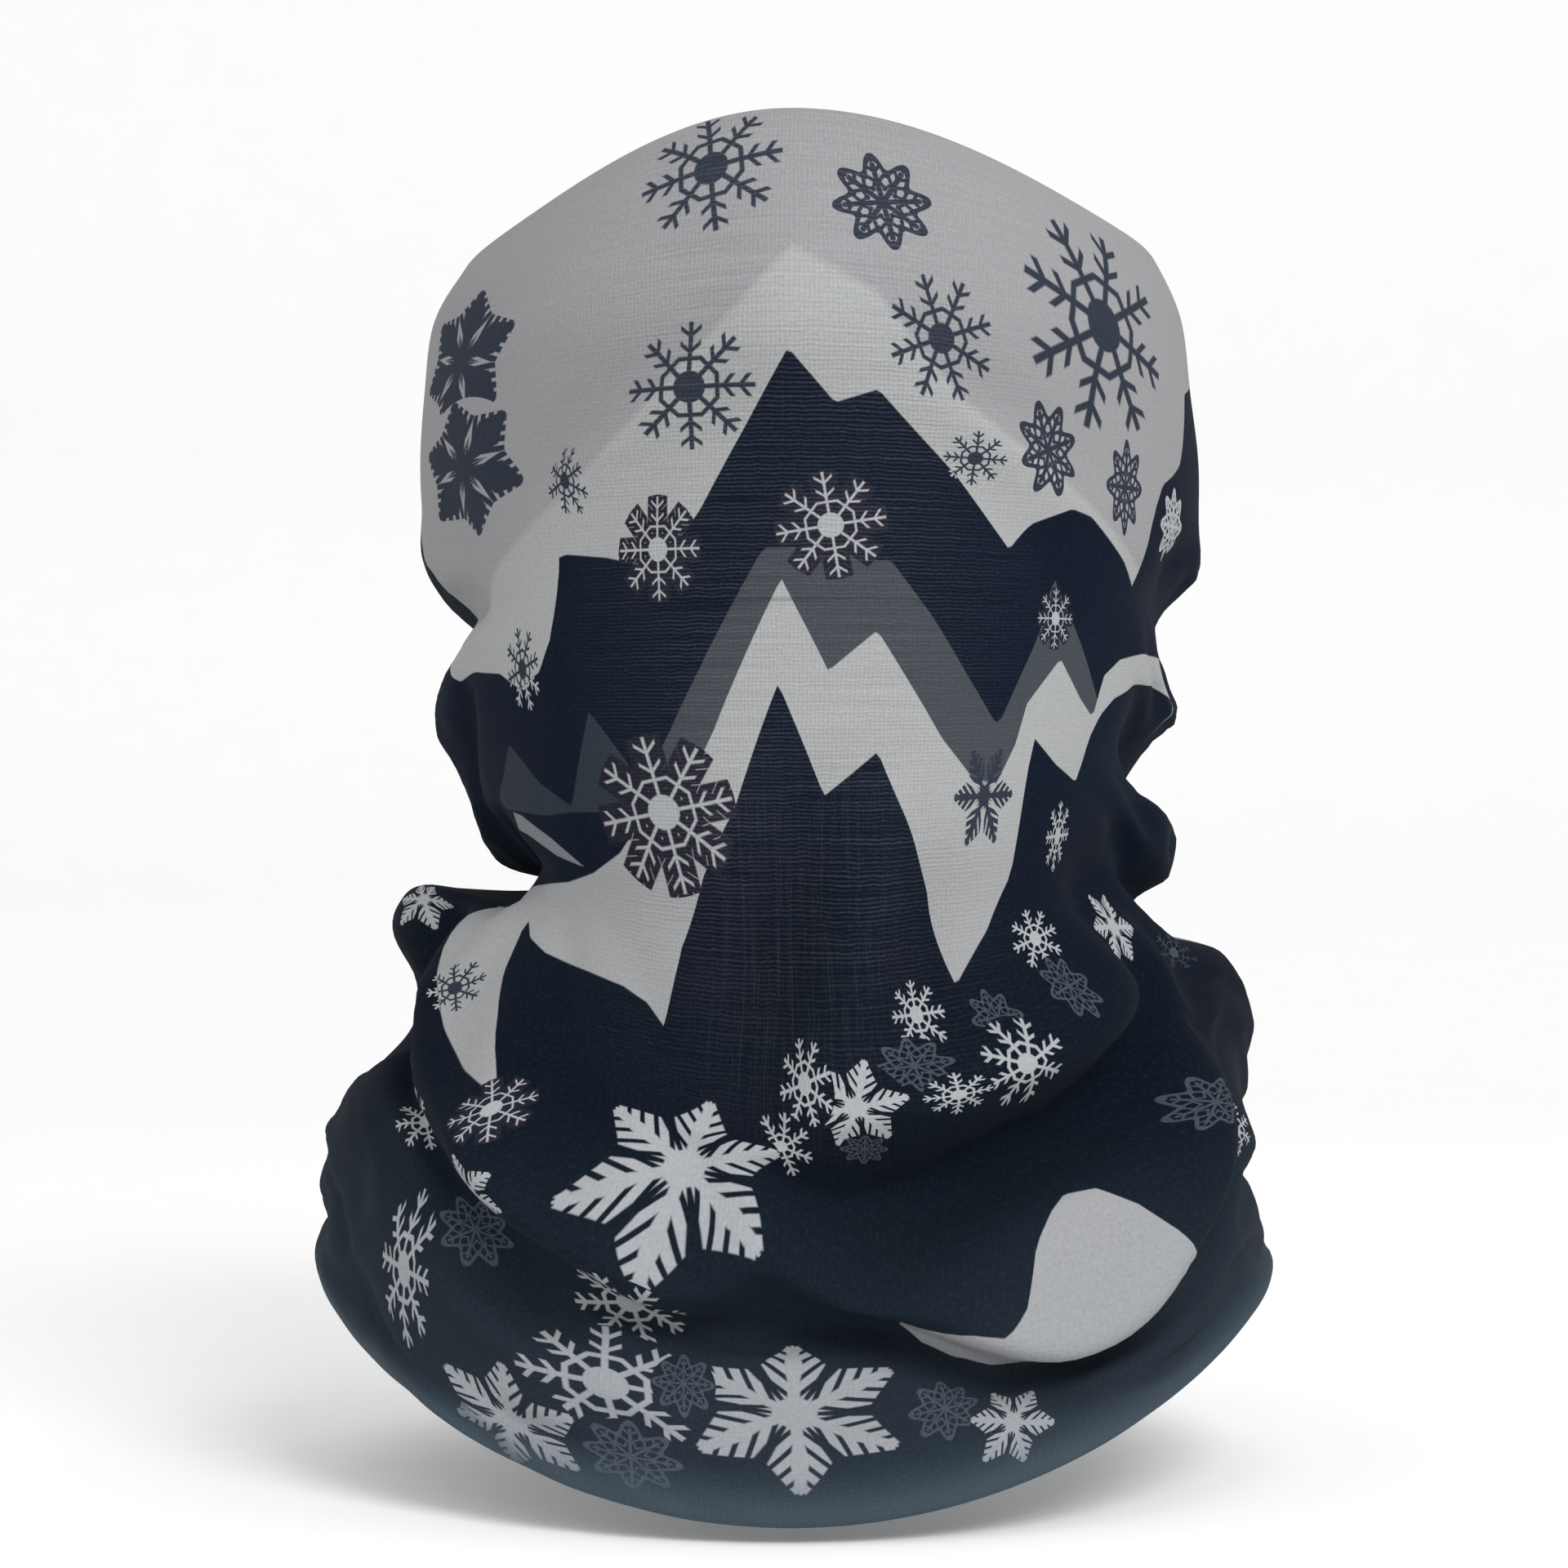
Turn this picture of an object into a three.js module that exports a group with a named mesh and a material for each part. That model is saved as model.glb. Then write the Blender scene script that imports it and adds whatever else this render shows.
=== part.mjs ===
// A knitted tube neck gaiter, in the shape it takes on a wearer: over the nose and the ears at the
// top, slack rolls round the neck, and a bib that hangs on the chest. Millimetres, +Z is up and the
// wearer faces -Y. The origin is in the middle of the neck.
import * as THREE from "three";

// Driving dimensions
const CLOTH_THICKNESS = 0.9;
const THREAD_THICKNESS = 0.4;
const GAP = 0.3; // between pieces that touch
const STEPS_AROUND = 54;
const STEPS_ALONG = 36;
const HEM_TURN = 9; // how much cloth is turned in at each edge
const HEM_RADIUS = 2.6; // of the soft bend where an edge turns in
const SEAM_WIDTH = 3.5; // how far the overlock reaches in from a cut edge
const LABEL_WIDTH = 20;
const LABEL_LENGTH = 34;
const LABEL_THICKNESS = 0.5;

// Where the cloth passes at each level, from the top edge to the bottom edge: how far out it is and
// how high, at the front, the wearer's left (+X), the back and the wearer's right (-X). Peak says
// how sharply the level rises or drops towards the front.
const LEVELS = [
  { front: [101, 149], left: [77, 131], back: [98, 121], right: [69, 129], peak: 3.6 }, // nose bridge
  { front: [111, 133], left: [82, 120], back: [101, 112], right: [75, 119], peak: 3.2 },
  { front: [118, 112], left: [84, 104], back: [102, 99], right: [77, 104], peak: 2.6 }, // nose tip
  { front: [110, 90], left: [86, 86], back: [101, 84], right: [78, 87], peak: 2 },
  { front: [105, 72], left: [86, 72], back: [98, 70], right: [76, 71], peak: 2 }, // slack over the ears
  { front: [103, 58], left: [77, 59], back: [93, 58], right: [70, 59], peak: 2 },
  { front: [102, 42], left: [82, 44], back: [92, 45], right: [74, 42], peak: 2 }, // slack at the jaw
  { front: [101, 28], left: [73, 31], back: [86, 32], right: [69, 29], peak: 2 },
  { front: [98, 12], left: [78, 18], back: [85, 20], right: [64, 17], peak: 2 }, // chin
  { front: [90, -4], left: [73, 3], back: [79, 8], right: [57, 6], peak: 2 }, // neck
  { front: [92, -22], left: [79, -5], back: [82, -2], right: [74, 5], peak: 2 },
  { front: [99, -42], left: [91, -13], back: [89, -12], right: [87, -9], peak: 2 }, // neck roll
  { front: [104, -62], left: [100, -32], back: [93, -24], right: [84, -27], peak: 2 },
  { front: [104, -80], left: [98, -47], back: [93, -34], right: [91, -40], peak: 2 },
  { front: [110, -99], left: [104, -63], back: [96, -44], right: [101, -62], peak: 1.8 }, // bib
  { front: [112, -115], left: [102, -78], back: [94, -56], right: [99, -79], peak: 1.8 },
];

const PRINT = new THREE.MeshStandardMaterial({ color: 0x232c3b, roughness: 0.9, metalness: 0 });
const THREAD = new THREE.MeshStandardMaterial({ color: 0x1b2230, roughness: 0.7, metalness: 0 });
const RIBBON = new THREE.MeshStandardMaterial({ color: 0xe8e8e6, roughness: 0.5, metalness: 0 });

// One level's point at an angle, which runs from 0 at the front through the wearer's left side.
function levelPoint(level, angle) {
  const across = Math.sin(angle);
  const ahead = Math.cos(angle);
  const side = across > 0 ? level.left : level.right;
  const end = ahead > 0 ? level.front : level.back;
  const towardsEnd = Math.abs(ahead) ** (ahead > 0 ? level.peak : 2);
  return new THREE.Vector3(
    side[0] * across,
    -end[0] * ahead,
    side[1] + (end[1] - side[1]) * towardsEnd,
  );
}

// The turned-in cloth beyond an edge: half a turn of the bend, then a straight run back inside.
function hemPoints(edge, upwards) {
  const inward = new THREE.Vector3(-edge.x, -edge.y, 0).normalize();
  const onwards = new THREE.Vector3(0, 0, upwards ? 1 : -1);
  const turnPoint = (turn) =>
    edge
      .clone()
      .addScaledVector(inward, HEM_RADIUS * (1 - Math.cos(turn)))
      .addScaledVector(onwards, HEM_RADIUS * Math.sin(turn));
  const bend = [Math.PI / 3, (2 * Math.PI) / 3, Math.PI].map(turnPoint);
  const run = [0.5, 1].map((part) => bend[2].clone().addScaledVector(onwards, -part * HEM_TURN));
  return [...bend, ...run];
}

// The middle of the cloth along one line from the top cut edge to the bottom cut edge.
function clothLine(angle) {
  const levels = LEVELS.map((level) => levelPoint(level, angle));
  const topHem = hemPoints(levels[0], true).reverse();
  const bottomHem = hemPoints(levels[levels.length - 1], false);
  return new THREE.CatmullRomCurve3([...topHem, ...levels, ...bottomHem], false, "centripetal");
}

const lines = Array.from({ length: STEPS_AROUND }, (_, i) =>
  clothLine((2 * Math.PI * i) / STEPS_AROUND),
);

// The cloth's middle and outward normal at a step around and a share of the way down the cloth.
function clothFrame(step, share) {
  const turns = (i) => lines[(i + STEPS_AROUND) % STEPS_AROUND];
  const middle = turns(step).getPoint(share);
  const around = turns(step + 1).getPoint(share).sub(turns(step - 1).getPoint(share));
  const down = turns(step).getTangent(share);
  return { middle, normal: new THREE.Vector3().crossVectors(down, around).normalize() };
}

// A closed ring swept round the tube: section(step) gives the points of its closed cross-section.
function sweptRing(section) {
  const sections = Array.from({ length: STEPS_AROUND }, (_, i) => section(i));
  const count = sections[0].length;
  const positions = sections.flat().flatMap((point) => point.toArray());
  const faces = [];
  for (let i = 0; i < STEPS_AROUND; i += 1) {
    for (let j = 0; j < count; j += 1) {
      const here = i * count + j;
      const below = i * count + ((j + 1) % count);
      const next = ((i + 1) % STEPS_AROUND) * count + j;
      const nextBelow = ((i + 1) % STEPS_AROUND) * count + ((j + 1) % count);
      faces.push(here, below, nextBelow, here, nextBelow, next);
    }
  }
  const geometry = new THREE.BufferGeometry();
  geometry.setAttribute("position", new THREE.Float32BufferAttribute(positions, 3));
  geometry.setIndex(faces);
  geometry.computeVertexNormals();
  return geometry;
}

// A layer of the tube between two shares of its length, with its faces at two heights off the
// cloth's middle.
function clothLayer(shares, inside, outside) {
  return sweptRing((step) => {
    const frames = shares.map((share) => clothFrame(step, share));
    const outer = frames.map((f) => f.middle.clone().addScaledVector(f.normal, outside));
    const inner = frames.map((f) => f.middle.clone().addScaledVector(f.normal, inside));
    return [...outer, ...inner.reverse()];
  });
}

// Evenly spaced shares from one to another.
function spread(from, to, steps) {
  return Array.from({ length: steps + 1 }, (_, i) => from + ((to - from) * i) / steps);
}

function named(name, geometry, material) {
  const mesh = new THREE.Mesh(geometry, material);
  mesh.name = name;
  return mesh;
}

function knitTube() {
  const half = CLOTH_THICKNESS / 2;
  return named("knit_tube", clothLayer(spread(0, 1, STEPS_ALONG), -half, half), PRINT);
}

// The three threads of the overlock on one cut edge: the two loopers lie on the two faces of the
// turned-in cloth, and the needle thread is a line of stitches inside the loopers' reach.
function overlock(edgeName, cutEdge, inwards) {
  const length = lines[0].getLength();
  const between = (from, to) =>
    [from, to].map((reach) => cutEdge + (inwards * reach) / length).sort((a, b) => a - b);
  const near = CLOTH_THICKNESS / 2 + GAP;
  const far = near + THREAD_THICKNESS;
  const loops = between(GAP, SEAM_WIDTH);
  const stitches = between(SEAM_WIDTH + GAP, SEAM_WIDTH + GAP + THREAD_THICKNESS);
  return [
    named(`${edgeName}_upper_looper_thread`, clothLayer(loops, near, far), THREAD),
    named(`${edgeName}_lower_looper_thread`, clothLayer(loops, -far, -near), THREAD),
    named(`${edgeName}_needle_thread`, clothLayer(stitches, near, far), THREAD),
  ];
}

// A blank ribbon caught in the bottom overlock at the middle of the back.
function careLabel() {
  const cutEdge = clothFrame(STEPS_AROUND / 2, 1);
  const label = named(
    "care_label",
    new THREE.BoxGeometry(LABEL_WIDTH, LABEL_THICKNESS, LABEL_LENGTH),
    RIBBON,
  );
  const standOff = CLOTH_THICKNESS / 2 + 3 * GAP + THREAD_THICKNESS + LABEL_THICKNESS;
  label.position.copy(cutEdge.middle);
  label.position.y -= standOff;
  label.position.z += LABEL_LENGTH / 2;
  return label;
}

const gaiter = new THREE.Group();
gaiter.add(knitTube());
gaiter.add(...overlock("top", 0, 1));
gaiter.add(...overlock("bottom", 1, -1));
gaiter.add(careLabel());

export default gaiter;
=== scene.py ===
# A worn knit neck gaiter: the printed tube with its turned-in edges, the overlock threads and the
# blank label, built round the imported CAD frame. Metres, +Z is up and the wearer faces -Y.
import math

import bpy
import numpy as np
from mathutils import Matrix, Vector


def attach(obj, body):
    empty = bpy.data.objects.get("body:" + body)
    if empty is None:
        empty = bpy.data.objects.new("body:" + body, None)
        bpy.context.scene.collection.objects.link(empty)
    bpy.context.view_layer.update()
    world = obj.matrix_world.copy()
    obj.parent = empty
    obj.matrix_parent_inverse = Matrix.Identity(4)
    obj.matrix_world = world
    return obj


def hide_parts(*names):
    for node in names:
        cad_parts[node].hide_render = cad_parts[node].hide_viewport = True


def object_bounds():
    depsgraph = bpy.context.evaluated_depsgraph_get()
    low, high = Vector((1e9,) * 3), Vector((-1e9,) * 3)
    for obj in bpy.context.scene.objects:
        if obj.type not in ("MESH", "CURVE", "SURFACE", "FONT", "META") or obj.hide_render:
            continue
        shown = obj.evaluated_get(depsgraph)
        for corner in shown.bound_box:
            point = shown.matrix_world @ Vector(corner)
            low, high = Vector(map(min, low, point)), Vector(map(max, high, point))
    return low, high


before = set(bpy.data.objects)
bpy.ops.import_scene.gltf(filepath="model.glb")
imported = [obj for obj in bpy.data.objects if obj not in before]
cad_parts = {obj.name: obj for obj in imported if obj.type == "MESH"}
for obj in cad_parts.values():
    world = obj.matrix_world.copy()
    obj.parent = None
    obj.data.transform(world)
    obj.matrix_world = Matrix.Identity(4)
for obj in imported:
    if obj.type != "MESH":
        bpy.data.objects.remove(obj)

CAD_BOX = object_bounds()
DESIGN_HEIGHT = 270.0  # the gaiter's height in design millimetres
MM = (CAD_BOX[1][2] - CAD_BOX[0][2]) / DESIGN_HEIGHT  # one design millimetre, in metres

# The cloth, in design millimetres. It was cut as a tube 480 round and 480 long.
FLAT_ROUND = 480.0
FLAT_LONG = 480.0
CLOTH_THICKNESS = 0.55
HEM_TURN = 9.0
HEM_RADIUS = 2.6
SEAM_WIDTH = 3.5
THREAD_RADIUS = 0.18
STITCHES = 200
NEEDLE_RADII = 2.2  # how far past the seam the needle thread runs, in radii of the thread
LOOP_REACH = (0.05, 0.5, 1.0, 0.5)  # a looper's zigzag across the seam, in parts of its width
LOOP_LIFT = (0.12, 0.0, 0.12, 0.0)  # how far it arches off the cloth at each of those points
LABEL_WIDTH, LABEL_RISE, LABEL_LEAN = 20.0, 27.0, 17.0
LABEL_STANDOFF, LABEL_BOW = 0.8, 90.0  # off the turned-in cloth, and the radius it is bent to
LABEL_CURL = 1.2  # above 1 the label leans more towards its free end
LABEL_THICKNESS = 0.25
LABEL_STEPS_UP, LABEL_STEPS_ACROSS = 14, 6
STEPS_AROUND = 116
STEPS_ALONG = 104
SETTLE_FRAMES = 18
SETTLE_GRAVITY = 0.35
LEAST_CAP, SETTLE_CAP = 1.0, 8.0  # how far the taut cloth may settle, and the loose cloth more
HOLD_LOSS = 0.93  # how much of its hold on the wearer the loosest cloth loses
GROWTH = -0.05  # the loose cloth is this much longer than the space it is in, so it buckles
LEVEL_PUSH = 0.25  # how much of the slope a fold follows as it stands out: 0 pushes it out level
SOFT_LINE, SOFT_FOLD = 2, 3  # how many steps each way a fold's line and its size are averaged over

# How loose the cloth is, from 0 to 1: at degrees off the front, and at distances down the cloth.
LOOSE_ACROSS = ([40, 75], [0, 1])
LOOSE_UPPER = ([110, 150], [0, 1])
LOOSE_LOWER = ([265, 310, 425, 455], [0, 1, 1, 0])
LOOSE_ABOVE_HEM = ([425, 455], [1, 0])

# The knit as the simulation that settles it treats it.
KNIT_SETTINGS = {
    "quality": 6,
    "mass": 0.15,
    "air_damping": 4,
    "tension_stiffness": 12,
    "compression_stiffness": 12,
    "shear_stiffness": 4,
    "bending_stiffness": 0.5,
    "tension_damping": 8,
    "compression_damping": 8,
    "shear_damping": 8,
    "bending_damping": 2,
    "pin_stiffness": 0.6,
    "shrink_min": 0.0,
    "shrink_max": GROWTH,
}
KNIT_CONTACT = {
    "use_collision": False,
    "use_self_collision": True,
    "self_distance_min": 0.0016,
    "collision_quality": 2,
}

# Where the cloth passes at each level before it folds, from the top edge to the bottom edge: how far
# out it is and how high, at the front, the wearer's left (+X), the back and the wearer's right (-X).
# The last number says how sharply the level rises or drops towards the front.
LEVELS = [
    ((101, 149), (77, 131), (98, 121), (69, 129), 3.6),  # nose bridge
    ((111, 133), (82, 120), (101, 112), (75, 119), 3.2),
    ((118, 112), (84, 104), (102, 99), (77, 104), 2.6),  # nose tip
    ((110, 90), (86, 86), (101, 84), (78, 87), 2.0),
    ((105, 66), (84, 65), (98, 64), (76, 65), 2.0),
    ((102, 42), (80, 44), (92, 45), (73, 42), 2.0),
    ((99, 14), (76, 20), (85, 21), (66, 18), 2.0),  # chin
    ((94, -8), (75, 3), (81, 7), (62, 3), 2.0),  # neck
    ((97, -34), (88, -12), (84, -8), (75, -13), 2.0),
    ((104, -62), (100, -36), (91, -27), (97, -36), 2.0),
    ((109, -92), (101, -60), (95, -44), (103, -60), 1.8),  # bib
    ((112, -115), (101, -78), (94, -56), (99, -79), 1.8),
]

# Folds that run round the tube: how wide each one is above and below its line (millimetres of
# cloth), how full it is (2 is a soft crest, 4 a full roll), then the line's points: angle in degrees
# (0 at the front, + to the wearer's left), distance down the cloth, how far it stands out, and how
# far it hangs down over what is below it.
FOLDS_ROUND = [
    # slack over and behind the ears, in rolls round the back of the head
    (7, 7, 2, [
        (56, 168, 0, 0), (68, 172, -6, 0), (90, 174, -8, 0), (180, 173, -9, 0), (250, 175, -11, 0),
        (272, 176, -15, 0), (288, 175, -12, 0), (308, 170, 0, 0),
    ]),
    (8, 8, 2, [
        (56, 224, 0, 0), (66, 228, -9, 0), (76, 230, -12, 0), (90, 231, -11, 0), (180, 228, -10, 0),
        (240, 230, -6, 0), (262, 234, 0, 0),
    ]),
    (14, 12, 4, [
        (60, 150, 0, 0), (80, 151, 3, 2), (110, 150, 5, 3), (180, 149, 9, 4), (240, 150, 5, 3),
        (285, 152, 0, 0),
    ]),
    (14, 12, 4, [
        (60, 201, 0, 0), (80, 202, 4, 2), (120, 202, 7, 3), (180, 200, 9, 4), (250, 203, 5, 2),
        (284, 204, 3, 0), (300, 205, 0, 0),
    ]),
    (14, 12, 4, [
        (60, 254, 0, 0), (80, 256, 5, 2), (120, 255, 8, 4), (180, 253, 10, 5), (240, 255, 5, 2),
        (270, 255, 0, 0),
    ]),
    # the crease under the jaw, deepest on the wearer's right
    (9, 8, 2, [
        (54, 272, 0, 0), (66, 275, -9, 0), (76, 278, -11, 0), (90, 281, -9, 0), (180, 280, -10, 0),
        (250, 272, -18, 0), (272, 270, -22, 0), (287, 270, -20, 0), (300, 271, -7, 0), (310, 272, 0, 0),
    ]),
    # the roll that lies round the neck, standing up behind the front drape on the wearer's right
    (14, 46, 3, [
        (62, 306, 0, 0), (74, 308, 6, 0), (84, 309, 9, 0), (96, 309, 10, 0), (120, 308, 11, 0),
        (180, 306, 13, 0), (200, 306, 0, 0),
    ]),
    (24, 26, 3, [
        (180, 304, 0, 0), (210, 304, 13, -3), (240, 303, 20, -7), (256, 302, 24, -9),
        (270, 302, 24, -10), (282, 303, 19, -14), (291, 305, 11, -12), (302, 308, 3, -5),
        (310, 310, 0, 0),
    ]),
    (7, 7, 2, [
        (120, 346, 0, 0), (145, 344, -6, 0), (180, 340, -8, 0), (240, 338, -4, 0), (260, 337, 0, 0),
    ]),
    # the front drape where it swings out over that roll on the wearer's right
    (18, 14, 2, [
        (-78, 290, 0, 0), (-68, 298, 6, 1), (-56, 308, 8, 2), (-42, 320, 5, 1), (-24, 332, 2, 0),
        (-6, 340, 0, 0),
    ]),
    # the hollow between the chin's drape and the swag below it
    (12, 11, 2, [
        (-18, 372, 0, 0), (-12, 368, -5, 0), (-4, 362, -10, 0), (6, 354, -16, 0), (16, 348, -21, 0),
        (28, 343, -23, 0), (44, 337, -20, 0), (56, 328, -15, 0), (68, 312, -8, 0), (80, 298, 0, 0),
    ]),
    (13, 9, 2, [
        (-30, 330, 0, 0), (-6, 334, 3, 2), (6, 330, 6, 4), (20, 324, 7, 5), (44, 316, 7, 5),
        (58, 305, 5, 3), (70, 293, 0, 0),
    ]),
    # the lower lip of the front drape and of the swag, which hangs over the bottom layer
    (14, 7, 2, [
        (-84, 286, 0, 0), (-72, 301, 7, 2), (-60, 321, 9, 4), (-49, 341, 10, 6), (-38, 358, 11, 8),
        (-26, 370, 11, 10), (-17, 374, 11, 10), (-8, 375, 11, 10), (0, 372, 11, 10), (8, 371, 11, 10),
        (16, 376, 11, 9), (22, 386, 10, 9), (30, 396, 10, 9), (40, 394, 9, 8), (49, 379, 8, 7),
        (57, 357, 8, 6), (67, 331, 6, 4), (80, 308, 0, 0),
    ]),
    (5, 10, 2, [
        (-80, 306, 0, 0), (-66, 325, -4, 0), (-54, 347, -6, 0), (-41, 367, -8, 0), (-26, 381, -8, 0),
        (-8, 386, -8, 0), (6, 383, -8, 0), (16, 387, -8, 0), (24, 400, -8, 0), (31, 407, -6, 0),
        (42, 405, -6, 0), (53, 384, -5, 0), (61, 360, -4, 0), (73, 330, 0, 0),
    ]),
    # and at the back
    (14, 8, 2, [
        (96, 386, 0, 0), (120, 388, 5, 4), (180, 386, 7, 6), (225, 382, 4, 3), (246, 378, 0, 0),
    ]),
    (6, 9, 2, [
        (104, 398, 0, 0), (125, 400, -3, 0), (180, 398, -5, 0), (225, 394, -2, 0), (240, 390, 0, 0),
    ]),
    # a soft second line under the lip on the wearer's right, and a small tuck on the left
    (7, 8, 2, [
        (-62, 360, 0, 0), (-54, 369, -3, 0), (-42, 382, -4, 0), (-28, 394, -4, 0), (-12, 404, 0, 0),
    ]),
    (5, 5, 2, [(24, 400, 0, 0), (31, 403, 3, 3), (38, 404, 3, 3), (44, 403, 0, 0)]),
]

# Folds that run down the tube: half-width in degrees, then the line's points: distance down the
# cloth, angle in degrees and how far it stands out.
FOLDS_DOWN = [
    (6, [(222, 4, 0), (250, 2, -5), (285, -2, -8), (325, -7, -8), (352, -11, 0)]),
    (5, [(228, 12, 0), (256, 11, 4), (300, 9, 5), (330, 7, 0)]),
    (6, [(250, 22, 0), (280, 20, -3), (310, 17, -3), (330, 15, 0)]),
    (9, [(40, 0, 0), (66, 0, 3), (96, -1, 5), (128, -1, 2), (160, 0, 0)]),
    (5, [(120, -63, 0), (145, -62, -3), (172, -60, -3), (186, -60, 0)]),
    (5, [(255, 52, 0), (275, 53, -4), (300, 56, -4), (316, 58, 0)]),
    (7, [(274, -66, 0), (292, -70, -9), (318, -75, -11), (342, -80, -6), (356, -82, 0)]),
]

# Lines where the cloth is pulled tight across the face: two ends (angle, distance), width in
# millimetres and height. They rise from nearly nothing at their ends.
RIDGE_SPAN = (0.04, 0.96)
TENSION_RIDGES = [
    ((-8, 92), (-60, 172), 6, 3.6),
    ((-7, 80), (-58, 156), 7, -2.4),
    ((-12, 112), (-52, 196), 7, -2.4),
    ((8, 94), (56, 160), 6, 2.4),
    ((7, 84), (52, 146), 6, -1.4),
    ((12, 116), (50, 190), 7, -2.0),
    ((-18, 66), (-62, 96), 8, 1.2),
    ((18, 66), (58, 90), 8, 1.2),
]

# The print. It repeats twice round the tube. Outlines are (angle, distance down the cloth) points.
REPEAT = 180.0
PRINT_EDGE = 0.5  # how wide a soft edge the ink has, in millimetres
FAR_EDGE = 3.0  # the same for the faint far slope
LOWER_SHADE_SPAN = (210.0, 330.0)  # where down the cloth the inks darken, as painted shade on the lower cloth
SHEEN_FADE_SPAN, SHEEN_FADE_SHARE = (330.0, 440.0), 0.20  # where the print fades towards the pale blue of the painted sheen at the hem
HEM_SHEEN_SPAN, HEM_SHEEN_SHARE = (430.0, 456.0), 0.85  # and where it turns into that painted sheen

# The knit. Reaches are a middle, how far each way from it and how wide the soft edge is.
WALE_PITCH, COURSE_PITCH = 0.8, 1.3  # between columns and between rows of stitches
PACKING_CREASE = 175.0  # how far down the cloth the crease from its packing lies
CREASE_REACH = (PACKING_CREASE, 0.5, 1.2)
FACE_ACROSS = (0.0, 26.0, 24.0)  # where the knit is stretched over the face, in degrees
FACE_BOTTOM = (300.0, 80.0)  # and how far down, with its soft edge
CHIN_ACROSS, CHIN_ALONG = (0.0, 14.0, 12.0), (275.0, 50.0, 40.0)
# Its patches: how many to a millimetre across and along it, then the noise's detail and roughness.
WANDER = (0.3, 0.08, 2.0, 0.5)
STRETCH_MARKS = (0.035, 1.1, 3.0, 0.6)
HEATHER = (1.6, 0.9, 3.0, 0.7)
STREAKS = (0.9, 0.02, 3.0, 0.6)
CLOUDS = (0.03, 0.02, 2.0, 0.5)
WANDER_ACROSS, WANDER_ALONG = 1.2, 1.5  # how far the columns and rows wander, in millimetres
# How much each thing changes the ink's tone; the crease's share is painted shade along the packing crease.
# In a pair, the second is added over the face.
INK_TONE, MOTTLE, CREASE_PAINTED_SHADE = 1.05, 0.42, 0.35
PORE_SHADE = (0.04, 0.14)
STRETCH_SHADE = (0.08, 0.25)
# How much bare yarn shows: in the rows over the face, as specks all over and as streaks at the chin.
BARE_ROWS, BARE_LEAST, BARE_SPECKS, BARE_STREAKS = 0.10, 0.002, 0.026, 0.045
STREAK_START, MARK_GAIN, MARK_START, ROW_START = 0.45, 1.4, 0.25, 0.12  # from where on it shows
CLOUD_RED, CLOUD_GREEN, BARE_BLUE = 0.0022, 0.0018, 1.1  # the faint cast of its clouds and its yarn
# How high each thing stands in the bump, in the same way.
WALE_RISE, HEATHER_RISE, CREASE_FALL = 0.35, 0.5, 3.0
COURSE_RISE, STRETCH_RISE = (0.2, 0.5), (0.6, 3.0)
SKY = (0.232, 0.232, 0.242, 1.0)
SNOW = (0.285, 0.292, 0.294, 1.0)
# painted shade: the snow ink darkened for lower down the cloth
SHADED_SNOW = (0.245, 0.250, 0.257, 1.0)
NAVY = (0.0022, 0.0060, 0.0155, 1.0)
# painted shade: the navy ink darkened for lower down the cloth
SHADED_NAVY = (0.0018, 0.0050, 0.0110, 1.0)
GREY = (0.042, 0.049, 0.058, 1.0)
FACET = (0.021, 0.028, 0.038, 1.0)
RIBBON = (0.15, 0.165, 0.175, 1.0)
DRIFT = (0.270, 0.276, 0.288, 1.0)
# painted sheen: the pale blue the print lightens to near the hem, where the edge catches grazing light
HEM_SHEEN_BLUE = (0.062, 0.087, 0.110, 1.0)
FLAKE_NAVY = (0.020, 0.026, 0.040, 1.0)
FLAKE_RIM = (0.011, 0.011, 0.020, 1.0)
FLAKE_PALE = (0.290, 0.300, 0.315, 1.0)
FLAKE_DIM = (0.042, 0.050, 0.065, 1.0)
INNER_DARK, INNER_PALE = (0.34, 0.35, 0.37, 1.0), (0.50, 0.50, 0.51, 1.0)
THREAD_DARK, THREAD_PALE = (0.012, 0.016, 0.028, 1.0), (0.035, 0.042, 0.060, 1.0)
RIBBON_WORN, RIBBON_CLEAN = (0.55, 0.55, 0.53, 1.0), (0.72, 0.72, 0.70, 1.0)
FLOOR_DARK, FLOOR_PALE = (0.89, 0.89, 0.89, 1.0), (0.91, 0.91, 0.91, 1.0)
FAR_SLOPE = [
    (-90, 190), (-60, 176), (-53, 167), (-32, 136), (-11, 93), (0, 71), (11, 82), (22, 110), (38, 134),
    (54, 158), (62, 168), (90, 190),
]
GREAT_MOUNTAIN = [
    (-90, 112), (-82, 150), (-75, 182), (-68, 196), (-60, 195), (-52, 197), (-47, 203), (-42, 197),
    (-39, 185), (-37.5, 159), (-36, 158), (-28, 160), (-22, 163), (-18, 160), (-13, 146), (-6, 119),
    (-0.5, 98), (5.3, 113), (10.8, 109), (21.8, 134), (30.5, 157), (33.5, 148), (39, 142), (42.5, 144),
    (51, 158), (55, 167), (57, 150), (58, 138), (60, 128), (63, 124), (66, 119), (69, 104), (72, 90),
    (80, 84), (90, 112),
]
MIDDLE_SLOPE = [
    (-90, 300), (-28, 300), (-26, 240), (-19, 217), (-14.5, 200), (-9.5, 180), (-4.5, 160), (-3.5, 158),
    (5, 158), (10, 162), (13, 162), (19, 180), (25, 200), (30, 216), (31, 214), (33.5, 200),
    (35.5, 189), (38.5, 166), (50, 210), (52, 300), (90, 300),
]
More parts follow.
